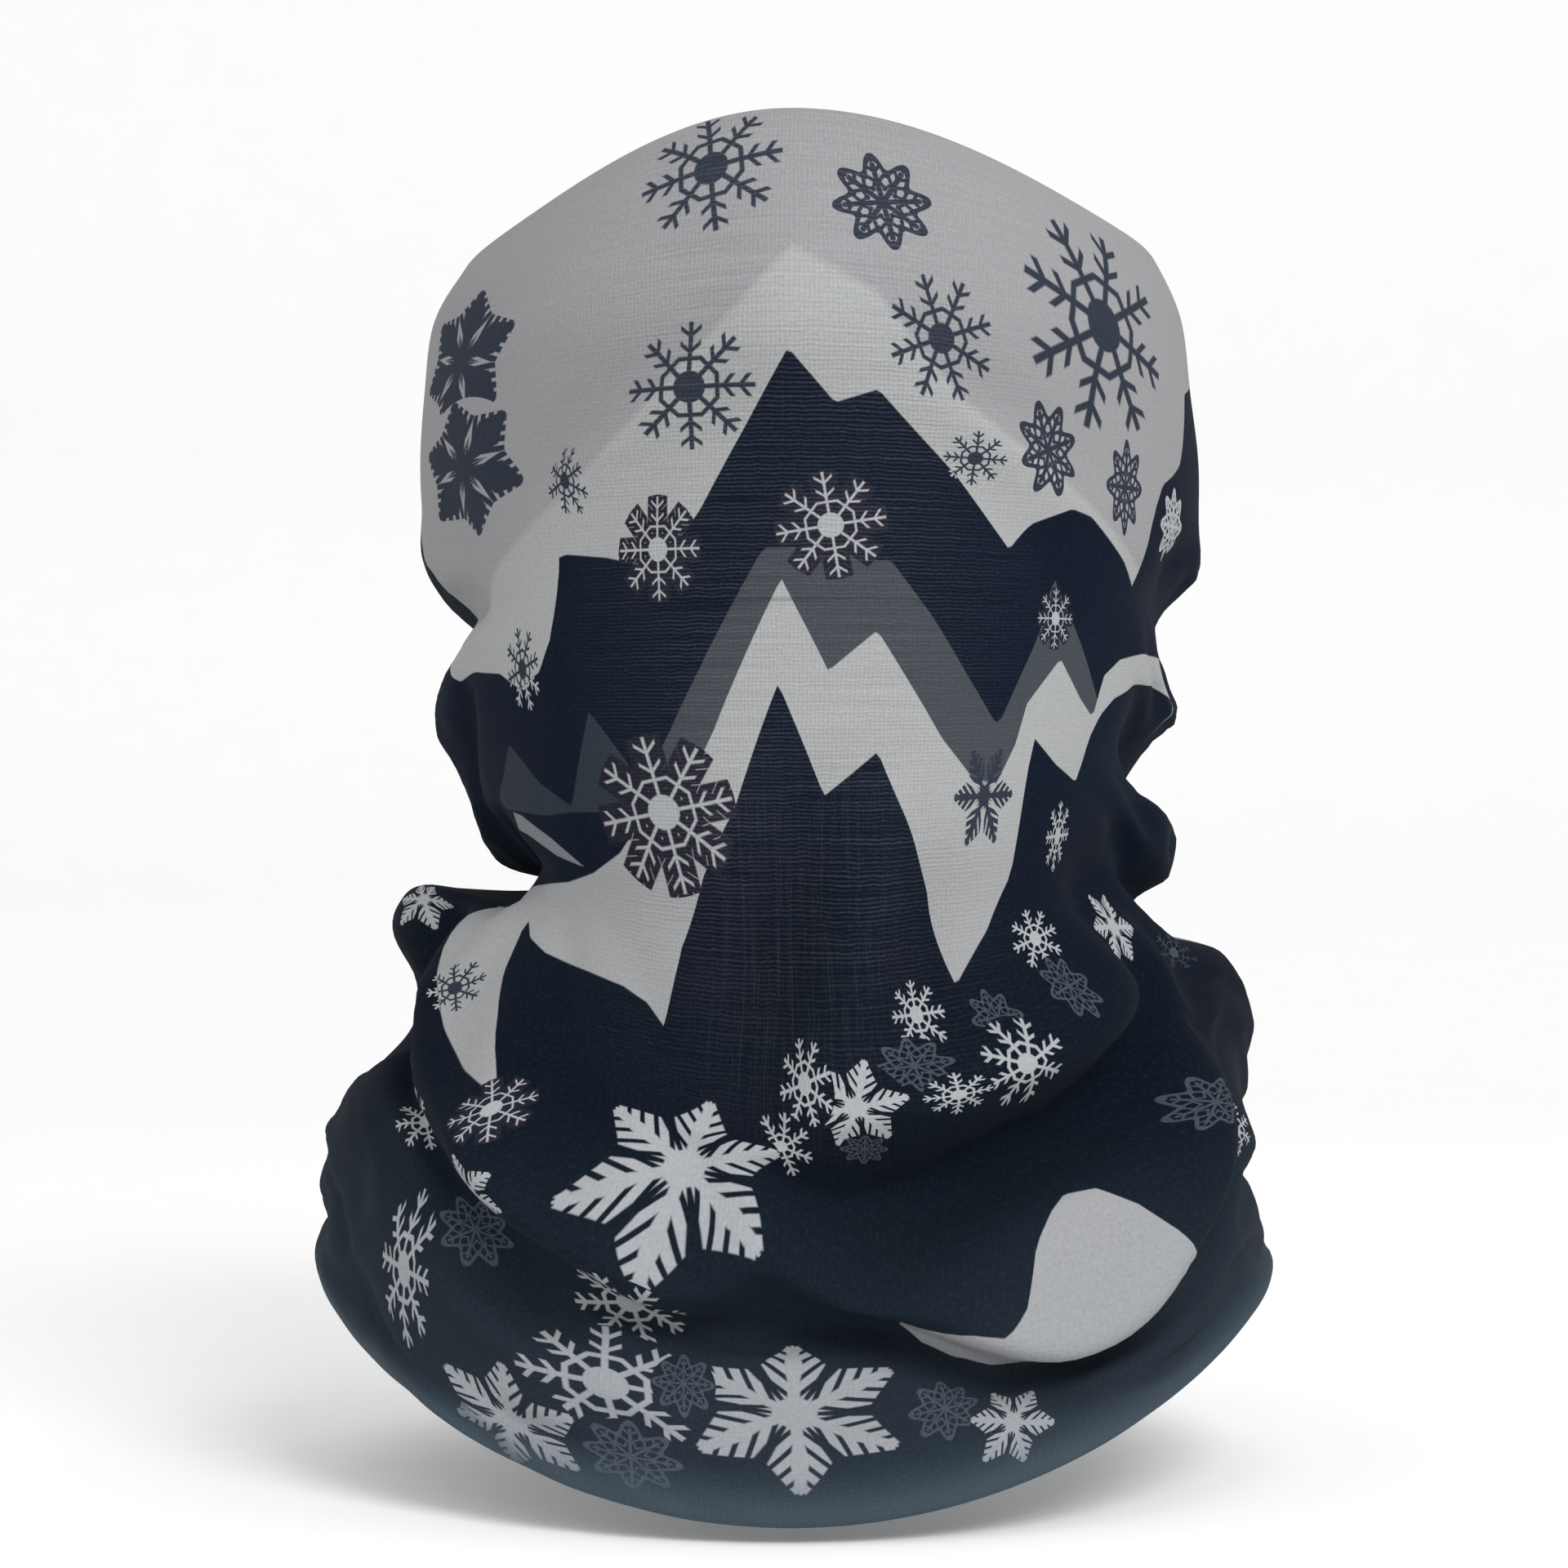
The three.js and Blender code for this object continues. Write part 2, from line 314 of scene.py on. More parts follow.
NEAR_SNOW = [
    (-90, 300), (-72, 296), (-66, 282), (-58, 276), (-50, 273), (-45, 271), (-38, 266), (-31, 258),
    (-23.5, 243), (-16, 232), (-12, 217), (-1.5, 168), (5, 198), (11.5, 185), (21.5, 220), (27, 234),
    (31, 236), (34, 222), (35, 210), (37, 204), (40.5, 194), (45.5, 208), (49, 215), (50.5, 200),
    (54, 194), (60, 191), (72, 188), (80, 196), (90, 300),
]
NEAR_MOUNTAIN = [
    (-90, 286), (-53, 286), (-51.5, 288), (-49, 293), (-45, 296), (-36, 297.5), (-29, 299),
    (-24.5, 302), (-21, 307.5), (-20, 286), (-15.5, 263), (-9.5, 243), (-2, 202), (4.8, 238),
    (12.2, 224), (15, 239), (21, 268), (24, 297), (30.5, 282), (35, 266), (36, 245), (37, 221),
    (42, 231), (47, 238), (49, 222), (51, 214), (54, 208), (60, 203), (72, 200), (80, 200), (90, 286),
]
FACETS_TOP = [
    (-90, 260), (-62, 246), (-53, 222), (-47, 236), (-40, 244), (-33, 211), (-27, 228), (-24, 246),
    (-23, 260), (90, 260),
]
FACETS_BOTTOM = [(-90, 246), (-47, 248), (-40, 246), (-24, 244), (90, 240)]
RIBBON_TOP = [(-90, 300), (-59, 300), (-58, 248), (-55, 249), (-47, 256), (-41, 263), (90, 400)]
RIBBON_BOTTOM = [(-90, 250), (-66, 252), (-55, 256), (-47, 262), (-41, 264), (90, 270)]
WEDGE_TOP = [
    (-90, 480), (-70, 480), (-67, 278), (-58, 276), (-52, 276), (-51.5, 291), (-49, 304), (-45, 316),
    (-42, 327), (-37.5, 341), (-36, 480), (90, 480),
]
WEDGE_BOTTOM = [
    (-90, 280), (-66, 298), (-62, 304), (-57, 311), (-51, 323), (-44, 334), (-37.5, 341), (90, 341),
]
DRIFT_TOP = [
    (-90, 480), (13, 480), (14, 384), (18, 383), (22.5, 384), (25.5, 386), (27.5, 381), (29, 371),
    (31.5, 364), (34, 360), (38, 361), (41.5, 368), (44, 377), (45.5, 386), (46, 480), (90, 480),
]
DRIFT_BOTTOM = [
    (-90, 300), (14, 387), (16, 396), (20, 402), (25, 404), (31, 404), (36, 402), (40, 397),
    (45.5, 387), (90, 300),
]

# The snowflakes: kind, tone, angle, distance down the cloth, half its width in degrees, half its height
# in millimetres of cloth and its turn in degrees. Ink of tone CONTRAST is navy on snow and pale on navy.
BRANCHED, CRYSTAL, FERN, LEAF = 0, 1, 2, 3
ARM_END, TWIG_SLANT, COMB_SLANT = 0.98, 0.8, 1.1  # in parts of a flake's radius, and as slopes
RIMMED_LOSS, DIM_LOSS = 0.015, 0.02  # how much thinner the ink of those tones is, in the same parts
RIM_WIDTH, FLAKE_EDGE = 0.075, 0.02  # and how wide the rim and the soft edge are
CONTRAST, DIM, RIMMED = 0, 1, 2
FLAKES = [
    (BRANCHED, CONTRAST, -12, 46, 11, 19.5, 8),
    (BRANCHED, CONTRAST, -14, 108, 9.5, 19, 0),
    (LEAF, CONTRAST, -58, 84, 15, 26, 12),
    (LEAF, CONTRAST, -57, 124, 15, 25, 40),
    (BRANCHED, CONTRAST, -33, 134, 3, 12, 20),
    (BRANCHED, RIMMED, -19.5, 158, 6.5, 17.5, 0),
    (BRANCHED, CONTRAST, -46, 196, 4, 15, 14),
    (BRANCHED, RIMMED, 5, 151, 7.5, 17.5, 10),
    (CRYSTAL, CONTRAST, 12, 56, 7, 14, 12),
    (BRANCHED, CONTRAST, 19.5, 93, 7.5, 19, 20),
    (BRANCHED, CONTRAST, 46, 78, 15, 38, 28),
    (BRANCHED, CONTRAST, 24, 128, 4.3, 9, 0),
    (CRYSTAL, CONTRAST, 35, 123, 5, 16, 18),
    (CRYSTAL, CONTRAST, 50, 132, 4, 17, 0),
    (CRYSTAL, CONTRAST, 64, 142, 4, 14, 0),
    (BRANCHED, RIMMED, 39, 180, 3.5, 11, 0),
    (FERN, CONTRAST, 29, 240, 5, 18, 0),
    (BRANCHED, RIMMED, -21.5, 244, 12.5, 26, 12),
    (BRANCHED, CONTRAST, 44, 256, 2.6, 12, 0),
    (BRANCHED, CONTRAST, 38.5, 288, 4.5, 10, 10),
    (BRANCHED, CONTRAST, 17.5, 303, 4, 9.5, 0),
    (CRYSTAL, DIM, 39.5, 303, 3.4, 9, 10),
    (CRYSTAL, DIM, 27.5, 307, 3.4, 8, 0),
    (CRYSTAL, DIM, 15, 315, 5, 7, 0),
    (BRANCHED, CONTRAST, 28, 319, 5.5, 12, 22),
    (BRANCHED, CONTRAST, 19, 324, 4.5, 6, 0),
    (FERN, CONTRAST, 7, 325, 6.2, 13, 10),
    (BRANCHED, CONTRAST, 1.5, 319, 3.5, 12, 14),
    (BRANCHED, CONTRAST, -2.5, 338, 4.5, 12, 30),
    (CRYSTAL, DIM, 8, 338, 3, 4, 0),
    (CRYSTAL, DIM, 56, 347, 6, 7, 0),
    (BRANCHED, CONTRAST, 66, 368, 4, 12, 0),
    (FERN, CONTRAST, 58, 289, 3.6, 12, 0),
    (BRANCHED, DIM, 75, 297, 5, 9, 0),
    (CRYSTAL, DIM, 17.5, 420, 4.2, 10, 0),
    (FERN, CONTRAST, 25, 430, 5.2, 13, 40),
    (FERN, CONTRAST, 1, 417, 12.5, 23, 30),
    (FERN, CONTRAST, -84, 303, 6, 12, 0),
    (BRANCHED, CONTRAST, -54, 311, 3.6, 8, 0),
    (BRANCHED, RIMMED, -37, 344, 3.6, 11, 0),
    (BRANCHED, CONTRAST, -51, 357, 5, 13, 0),
    (FERN, CONTRAST, -34.5, 367, 5, 10, 0),
    (CRYSTAL, DIM, -38, 384, 5, 10, 0),
    (BRANCHED, CONTRAST, -46, 403, 4.2, 24, 0),
    (FERN, CONTRAST, -14, 351, 12.5, 25, 22),
    (BRANCHED, CONTRAST, -17.5, 387, 7, 14, 20),
    (BRANCHED, CONTRAST, -19.5, 415, 11, 18, 4),
    (FERN, CONTRAST, -32.5, 435, 10, 17, 30),
    (CRYSTAL, DIM, -17.5, 434, 6, 10, 0),
    (CRYSTAL, DIM, -11, 411, 3.6, 10, 0),
]

# The stage, in metres: the floor's profile from front to back (y, height), the camera and the lamp.
FLOOR_PROFILE = [(-8.0, 0.0), (1.0, 0.0), (1.5, 0.08), (1.85, 0.35), (2.0, 0.8), (2.0, 2.4)]
FLOOR_HALF_WIDTH = 8.0
FLOOR_DROP = 0.002  # the floor's distance under the CAD's lowest point
CAMERA_PLACE = (-1.4 * MM, -950 * MM, 22.5 * MM)
CAMERA_LENS, CAMERA_SENSOR = 103, 36  # millimetres of lens
LAMP_PLACE, LAMP_TARGET = (0.5, -1.1, 0.9), (0, 0, 0.03)
LAMP_SIZE, LAMP_POWER = 0.7, 12


def level_ring(level, angles):
    """One level's points at the angles, which run from 0 at the front through the wearer's left."""
    front, left, back, right, peak = level
    across, ahead = np.sin(angles), np.cos(angles)
    side = np.where((across > 0)[:, None], left, right)
    end = np.where((ahead > 0)[:, None], front, back)
    towards_end = np.abs(ahead) ** np.where(ahead > 0, peak, 2.0)
    height = side[:, 1] + (end[:, 1] - side[:, 1]) * towards_end
    return np.stack([side[:, 0] * across, -end[:, 0] * ahead, height], axis=1)


def hem_rings(edge, upwards):
    """The turned-in cloth beyond an edge: half a turn of the bend, then a straight run back."""
    inward = edge * [-1.0, -1.0, 0.0]
    inward /= np.linalg.norm(inward, axis=1, keepdims=True)
    onwards = np.array([0.0, 0.0, 1.0 if upwards else -1.0])
    rings = []
    for turn in (math.pi / 3, 2 * math.pi / 3, math.pi):
        inwards, outwards = 1 - math.cos(turn), math.sin(turn)
        rings.append(edge + HEM_RADIUS * (inward * inwards + onwards * outwards))
    for part in (0.5, 1.0):
        rings.append(rings[2] - onwards * part * HEM_TURN)
    return rings


def on_curve(points, knots, share):
    """The place at a share of the way between the middle two of four points, on a smooth curve."""
    here = knots[1] + (knots[2] - knots[1]) * share

    def blend(first, second, start, end):
        return ((knots[end] - here) * first + (here - knots[start]) * second) / (knots[end] - knots[start])

    outer = [blend(points[i], points[i + 1], i, i + 1) for i in range(3)]
    inner = [blend(outer[i], outer[i + 1], i, i + 2) for i in range(2)]
    return blend(inner[0], inner[1], 1, 2)


def smooth_through(rings, steps):
    """Points on centripetal Catmull-Rom lines through the rings, evenly spaced along the mean line."""
    rings = np.array(rings)
    gaps = np.linalg.norm(np.diff(rings, axis=0), axis=2)
    knots = np.vstack([np.zeros(rings.shape[1]), np.cumsum(np.sqrt(gaps), axis=0)])
    ends = np.concatenate([2 * rings[:1] - rings[1:2], rings, 2 * rings[-1:] - rings[-2:-1]])
    first, last = knots[:1] - (knots[1:2] - knots[:1]), knots[-1:] + (knots[-1:] - knots[-2:-1])
    knots = np.concatenate([first, knots, last])
    mean = np.concatenate([[0.0], np.cumsum(gaps.mean(axis=1))])
    curve = []
    for place in np.linspace(0.0, mean[-1], steps):
        i = min(int(np.searchsorted(mean, place, side="right")) - 1, len(mean) - 2)
        share = (place - mean[i]) / (mean[i + 1] - mean[i])
        curve.append(on_curve(ends[i : i + 4], knots[i : i + 4, :, None], share))
    return np.array(curve)


def base_form():
    """The tube before it folds, as points[along][around]."""
    angles = 2 * math.pi * np.arange(STEPS_AROUND) / STEPS_AROUND
    rings = [level_ring(level, angles) for level in LEVELS]
    rings = hem_rings(rings[0], True)[::-1] + rings + hem_rings(rings[-1], False)
    return smooth_through(rings, STEPS_ALONG)


def softened(values, width):
    """A periodic list of values, one per step around, averaged over a window."""
    reach = np.arange(-width, width + 1)
    weights = 0.5 + 0.5 * np.cos(math.pi * reach / (width + 1))
    return sum(w * np.roll(values, r) for w, r in zip(weights, reach)) / weights.sum()


def grid_places(rows, cols):
    """How far down the cloth each row of the grid is, and each column's angle from 0 to 360."""
    return (np.arange(rows) / (rows - 1) * FLAT_LONG)[:, None], 360.0 * np.arange(cols) / cols


def off_front(angles):
    """The same angles, counted from -180 to 180 off the front."""
    return (angles + 180) % 360 - 180


def surface_frame(points):
    """Unit vectors off the surface, down along it and round it, at every grid point."""
    around = np.roll(points, -1, axis=1) - np.roll(points, 1, axis=1)
    down = np.gradient(points, axis=0)
    outward = np.cross(down, around) * [1.0, 1.0, LEVEL_PUSH]
    return tuple(v / np.linalg.norm(v, axis=2, keepdims=True) for v in (outward, down, around))


def round_fold_shifts(angles, along):
    """How far the folds that run round the tube push each grid point out, down and round."""
    shift_out, shift_down, shift_round = (np.zeros((along.size, angles.size)) for _ in range(3))
    for above, below, fullness, line in FOLDS_ROUND:
        line = np.array(line, dtype=float)
        turned = (angles - line[0, 0]) % 360 + line[0, 0]
        line_at, out, drop = (np.interp(turned, line[:, 0], line[:, k]) for k in (1, 2, 3))
        inside = (turned <= line[-1, 0]).astype(float)
        line_at = softened(line_at, SOFT_LINE)
        out, drop = (softened(size * inside, SOFT_FOLD) for size in (out, drop))
        slope = np.gradient(line_at, FLAT_ROUND / angles.size) * inside
        level = 1 / np.sqrt(1 + slope**2)
        gap = (along - line_at) * level
        reach = np.exp(-(np.abs(gap / np.where(gap < 0, above, below)) ** fullness))
        shift_out += out * reach
        shift_down += drop * reach * level
        shift_round -= drop * reach * level * slope
    return shift_out, shift_down, shift_round


def down_fold_shift(centred, along):
    """How far the folds that run down the tube push each grid point out."""
    shift = np.zeros((along.size, centred.size))
    for half_width, line in FOLDS_DOWN:
        line = np.array(line, dtype=float)
        line_at, out = (np.interp(along[:, 0], line[:, 0], line[:, k])[:, None] for k in (1, 2))
        gap = off_front(centred - line_at)
        shift += out * np.exp(-((gap / half_width) ** 2))
    return shift


def tension_shift(centred, along):
    """How far the lines of tension across the face push each grid point out."""
    flat = np.stack(np.broadcast_arrays(centred[None, :] / 360 * FLAT_ROUND, along), axis=2)
    shift = np.zeros((along.size, centred.size))
    for start, end, width, height in TENSION_RIDGES:
        start, end = (np.array([p[0] / 360 * FLAT_ROUND, p[1]]) for p in (start, end))
        line = end - start
        share = np.clip(((flat - start) @ line) / (line @ line), 0, 1)
        gap = np.linalg.norm(flat - start - share[..., None] * line, axis=2)
        rise = height * np.sin(math.pi * np.clip(share, *RIDGE_SPAN))
        shift += rise * np.exp(-((gap / width) ** 2))
    return shift


def folded(points):
    """The tube with its folds pushed into it."""
    outward, down, around = surface_frame(points)
    along, angles = grid_places(*points.shape[:2])
    centred = off_front(angles)
    shift_out, shift_down, shift_round = round_fold_shifts(angles, along)
    shift_out += down_fold_shift(centred, along) + tension_shift(centred, along)
    moved = points + outward * shift_out[..., None]
    return moved + down * shift_down[..., None] + around * shift_round[..., None]


def evened(points, times):
    """Each inner point moved towards the middle of its neighbours, which rounds sharp bends."""
    for _ in range(times):
        middle = (np.roll(points, 1, axis=1) + np.roll(points, -1, axis=1)) / 4
        middle[1:-1] += (points[2:] + points[:-2]) / 4
        points = points.copy()
        points[1:-1] += 0.5 * (middle[1:-1] - points[1:-1])
    return points


def cloth_form():
    """The tube's folded form, before it settles."""
    return evened(folded(base_form()), 1)


def slackness(rows, cols):
    """How loose the cloth is at each grid point: 0 on the face and at the edges, 1 in the rolls."""
    along, angles = grid_places(rows, cols)
    across = np.interp(np.abs(off_front(angles)), *LOOSE_ACROSS)
    upper = np.interp(along, *LOOSE_UPPER) * across
    lower = np.interp(along, *LOOSE_LOWER)
    return np.clip(np.maximum(upper * np.interp(along, *LOOSE_ABOVE_HEM), lower), 0, 1)


def settle(obj, start):
    """Lets the cloth sag and buckle by simulation, with its taut parts held, and caps how far it goes."""
    rows, cols = start.shape[:2]
    slack = slackness(rows, cols)
    held, loose = obj.vertex_groups.new(name="held"), obj.vertex_groups.new(name="loose")
    for index, share in enumerate(slack.ravel().tolist()):
        held.add([index], 1 - HOLD_LOSS * share, "REPLACE")
        loose.add([index], share, "REPLACE")
    cloth = obj.modifiers.new("settle", "CLOTH")
    cloth.settings.vertex_group_mass = held.name
    cloth.settings.vertex_group_shrink = loose.name
    cloth.settings.effector_weights.gravity = SETTLE_GRAVITY
    for setting, value in KNIT_SETTINGS.items():
        setattr(cloth.settings, setting, value)
    for setting, value in KNIT_CONTACT.items():
        setattr(cloth.collision_settings, setting, value)
    scene = bpy.context.scene
    for number in range(1, SETTLE_FRAMES + 1):
        scene.frame_set(number)
    moved = np.empty(rows * cols * 3)
    settled = obj.evaluated_get(bpy.context.evaluated_depsgraph_get())
    settled.data.vertices.foreach_get("co", moved)
    moved = moved.reshape(rows, cols, 3) / MM - start
    far = np.linalg.norm(moved, axis=2)
    moved *= np.minimum(1, (LEAST_CAP + SETTLE_CAP * slack) / np.maximum(far, 1e-6))[..., None]
    obj.modifiers.remove(cloth)
    obj.vertex_groups.clear()
    scene.frame_set(1)
    obj.data.vertices.foreach_set("co", ((start + moved) * MM).ravel())
    obj.data.update()
    return start + moved


def placed(name, data):
    """A new object in the scene."""
    obj = bpy.data.objects.new(name, data)
    bpy.context.scene.collection.objects.link(obj)
    return obj


def grid_mesh(name, points):
    """A tube of quads from points[along][around], with its flat-cloth UVs in metres."""
    rows, cols = points.shape[:2]
    faces = []
    for j in range(rows - 1):
        for i in range(cols):
            k = (i + 1) % cols
            faces.append((j * cols + i, (j + 1) * cols + i, (j + 1) * cols + k, j * cols + k))
    mesh = bpy.data.meshes.new(name)
    mesh.from_pydata((points.reshape(-1, 3) * MM).tolist(), [], faces)
    uv = mesh.uv_layers.new(name="flat")
    us = (np.arange(cols + 1) / cols - 0.5) * FLAT_ROUND * MM
    vs = -np.arange(rows) / (rows - 1) * FLAT_LONG * MM
    coords = np.empty((len(faces) * 4, 2))
    for f, (j, i) in enumerate((j, i) for j in range(rows - 1) for i in range(cols)):
        turned = (i + cols // 2) % cols
        coords[4 * f : 4 * f + 4, 0] = us[[turned, turned, turned + 1, turned + 1]]
        coords[4 * f : 4 * f + 4, 1] = vs[[j, j + 1, j + 1, j]]
    uv.data.foreach_set("uv", coords.ravel())
    mesh.polygons.foreach_set("use_smooth", [True] * len(faces))
    return placed(name, mesh)


class Value:
    """A node socket that takes part in arithmetic: each operator adds one Math node."""

    def __init__(self, graph, socket):
        self.graph, self.socket = graph, socket

    def __add__(self, other):
        return self.graph.math("ADD", self, other)

    def __radd__(self, other):
        return self.graph.math("ADD", other, self)

    def __sub__(self, other):
        return self.graph.math("SUBTRACT", self, other)

    def __rsub__(self, other):
        return self.graph.math("SUBTRACT", other, self)

    def __mul__(self, other):
        return self.graph.math("MULTIPLY", self, other)

    def __rmul__(self, other):
        return self.graph.math("MULTIPLY", other, self)

    def __truediv__(self, other):
        return self.graph.math("DIVIDE", self, other)


class Graph:
    """A material's node tree with short ways to add to it."""

    def __init__(self, name):
        self.material = bpy.data.materials.new(name)
        self.material.use_nodes = True
        self.tree = self.material.node_tree
        self.shader = self.tree.nodes["Principled BSDF"]

    def connect(self, value, socket):
        if isinstance(value, Value):
            self.tree.links.new(value.socket, socket)
        elif value is not None:
            socket.default_value = value

    def add(self, kind, inputs=(), output=0, **settings):
        node = self.tree.nodes.new(kind)
        for key, setting in settings.items():
            setattr(node, key, setting)
        for place, value in dict(inputs).items():
            self.connect(value, node.inputs[place])
        return Value(self, node.outputs[output])

    def math(self, operation, *values, clamp=False):
        return self.add("ShaderNodeMath", enumerate(values), operation=operation, use_clamp=clamp)

    def vector(self, operation, *values, output=0):
        return self.add("ShaderNodeVectorMath", enumerate(values), output=output, operation=operation)

    def below(self, value, limit, blur):
        """1 where the value is under the limit, 0 where it is over it, across a soft edge."""
        return self.math("MULTIPLY_ADD", limit - value, 1 / blur, 0.5, clamp=True)

    def least(self, *values):
        found = values[0]
        for value in values[1:]:
            found = self.math("MINIMUM", found, value)
        return found

    def most(self, *values):
        found = values[0]
        for value in values[1:]:
            found = self.math("MAXIMUM", found, value)
        return found

    def mix(self, share, first, second, kind="RGBA"):
        places = {"RGBA": (6, 7, 2), "VECTOR": (4, 5, 1), "FLOAT": (2, 3, 0)}[kind]
        inputs = {0: share, places[0]: first, places[1]: second}
        return self.add("ShaderNodeMix", inputs, output=places[2], data_type=kind)

    def profile(self, angle, points):
        """A line of straight runs through the points (angle, distance down the cloth)."""
        value = self.math("MULTIPLY_ADD", angle, 1 / REPEAT, 0.5)
        node = self.add("ShaderNodeFloatCurve", {1: value}).socket.node
        curve = node.mapping.curves[0]
        for index, (at, distance) in enumerate(points):
            place = (at / REPEAT + 0.5, distance / FLAT_LONG)
            if index in (0, len(points) - 1):
                curve.points[min(index, len(curve.points) - 1)].location = place
            else:
                curve.points.new(*place)
        for point in curve.points:
            point.handle_type = "VECTOR"
        node.mapping.update()
        return Value(self, node.outputs[0]) * FLAT_LONG

    def noise(self, coordinates, scale, detail=2.0, roughness=0.5):
        inputs = {"Vector": coordinates, "Scale": scale, "Detail": detail, "Roughness": roughness}
        return self.add("ShaderNodeTexNoise", inputs)

    def ramp(self, value, span):
        """0 before the span's start and 1 after its end, with a smooth rise between."""
        inputs = {0: value, 1: span[0], 2: span[1]}
        return self.add("ShaderNodeMapRange", inputs, interpolation_type="SMOOTHSTEP")

    def near(self, value, centre, reach, blur):
        """1 where the value is within reach of the centre, 0 further out, across a soft edge."""
        offset = value - centre if centre else value
        return self.below(self.math("ABSOLUTE", offset), reach, blur)

    def finish(self, colour, height, strength, depth, sockets):
        """Links the colour and a bump, depth in mm, sets the shader's sockets and gives the material."""
        self.connect(colour, self.shader.inputs["Base Color"])
        for socket, value in sockets.items():
            self.shader.inputs[socket].default_value = value
        bump = {"Strength": strength, "Distance": depth * MM, "Height": height}
        self.connect(self.add("ShaderNodeBump", bump), self.shader.inputs["Normal"])
        return self.material


def stripes(graph, value, first, pitch):
    """The distance from the nearest of evenly spaced lines."""
    return graph.math("ABSOLUTE", graph.math("WRAP", value - first, pitch / 2, -pitch / 2))


def branched_flake(graph, x, y, radius):
    """A hub in a ring, and straight arms with pairs of twigs. The distance along the arm is x and off
    it is y, and here and in the other flakes every size is in parts of the flake's radius."""
    root = x - y * TWIG_SLANT  # where on the arm the twig through this place starts
    arm = graph.most(y - 0.038, x - ARM_END)
    hub = radius - 0.24
    twigs = graph.most(stripes(graph, root, 0.52, 0.24) - 0.040, y - 0.17, 0.40 - root, root - 0.86)
    ring = graph.most(graph.math("ABSOLUTE", x - 0.42) - 0.035, radius - 0.5)
    return graph.least(arm, hub, twigs, ring)


def crystal_flake(graph, x, y, radius, off_arm):
    """Two outlines of petals, one inside the other, with an arm and twigs in each petal."""
    root = x - y * TWIG_SLANT
    petal = 0.76 + 0.16 * graph.math("COSINE", off_arm * 8)
    outer = graph.math("ABSOLUTE", radius - petal) - 0.085
    inner = graph.math("ABSOLUTE", radius - petal * 0.5) - 0.06
    arm = graph.most(y - 0.055, radius - 0.80)
    twigs = graph.most(stripes(graph, root, 0.40, 0.22) - 0.05, radius - petal, 0.2 - root)
    return graph.least(outer, inner, arm, twigs)


def fern_flake(graph, x, y, radius, is_leaf):
    """Broad arms cut into combs. A leaf is the same with broader arms and shorter cuts."""
    comb = stripes(graph, x - y * COMB_SLANT, 0.08, 0.20) - 0.064
    blade = graph.least((1.0 - x) * (0.62 + is_leaf * 0.3) + 0.04, x * (0.45 + is_leaf * 0.12))
    arm = graph.most(y - 0.055, x - ARM_END)
    teeth = graph.most(y - blade, graph.least(comb, y - blade * (0.3 + is_leaf * 0.35)))
    hub = radius - 0.20
    return graph.least(arm, teeth, hub)


def flake_distance(graph, local, turn, kind):
    """How far a place is outside a snowflake's ink, in parts of the flake's radius."""
    is_fern = graph.math("GREATER_THAN", kind, FERN - 0.5)
    is_leaf = graph.math("GREATER_THAN", kind, LEAF - 0.5)
    split = graph.add("ShaderNodeSeparateXYZ", {0: local}).socket.node
    across, down = Value(graph, split.outputs[0]), Value(graph, split.outputs[1])
    radius = graph.vector("LENGTH", local, output=1)
    angle = graph.math("ARCTAN2", down, across) + turn
    half_sector = graph.mix(is_fern, math.pi / 8, math.pi / 6, "FLOAT")
    off_arm = graph.math("ABSOLUTE", graph.math("WRAP", angle, half_sector, half_sector * -1.0))
    x, y = radius * graph.math("COSINE", off_arm), radius * graph.math("SINE", off_arm)
    branched = branched_flake(graph, x, y, radius)
    crystal = crystal_flake(graph, x, y, radius, off_arm)
    out = graph.mix(graph.math("GREATER_THAN", kind, CRYSTAL - 0.5), branched, crystal, "FLOAT")
    return graph.mix(is_fern, out, fern_flake(graph, x, y, radius, is_leaf), "FLOAT")


def flakes(graph, angle, along):
    """The snowflakes' ink and dark rim as shares of the cloth, and whether they are rimmed or dim."""
    place = graph.add("ShaderNodeCombineXYZ", {0: angle, 1: along})
    local, traits = (2.0, 2.0, 0.0), (0.0, 0.0, 0.0)
    for kind, tone, at, distance, half_width, half_height, turn in FLAKES:
        scale = (1 / half_width, 1 / half_height, 0.0)
        shift = (-at / half_width, -distance / half_height, 0.0)
        own = graph.vector("MULTIPLY_ADD", place, scale, shift)
        inside = graph.math("LESS_THAN", graph.vector("LENGTH", own, output=1), 1.0)
        local = graph.mix(inside, local, own, "VECTOR")
        traits = graph.mix(inside, traits, (math.radians(turn), kind, tone), "VECTOR")
    split = graph.add("ShaderNodeSeparateXYZ", {0: traits}).socket.node
    turn, kind, tone = (Value(graph, split.outputs[k]) for k in range(3))
    out = flake_distance(graph, local, turn, kind)
    whole = graph.math("LESS_THAN", graph.vector("LENGTH", local, output=1), 1.0)
    rimmed = graph.math("GREATER_THAN", tone, RIMMED - 0.5)
    dim = graph.math("COMPARE", tone, float(DIM), 0.1)
    ink = graph.below(out + rimmed * RIMMED_LOSS + dim * DIM_LOSS, 0.0, FLAKE_EDGE) * whole
    rim = graph.below(out, RIM_WIDTH, FLAKE_EDGE) * whole * rimmed
    return ink, rim, rimmed, dim


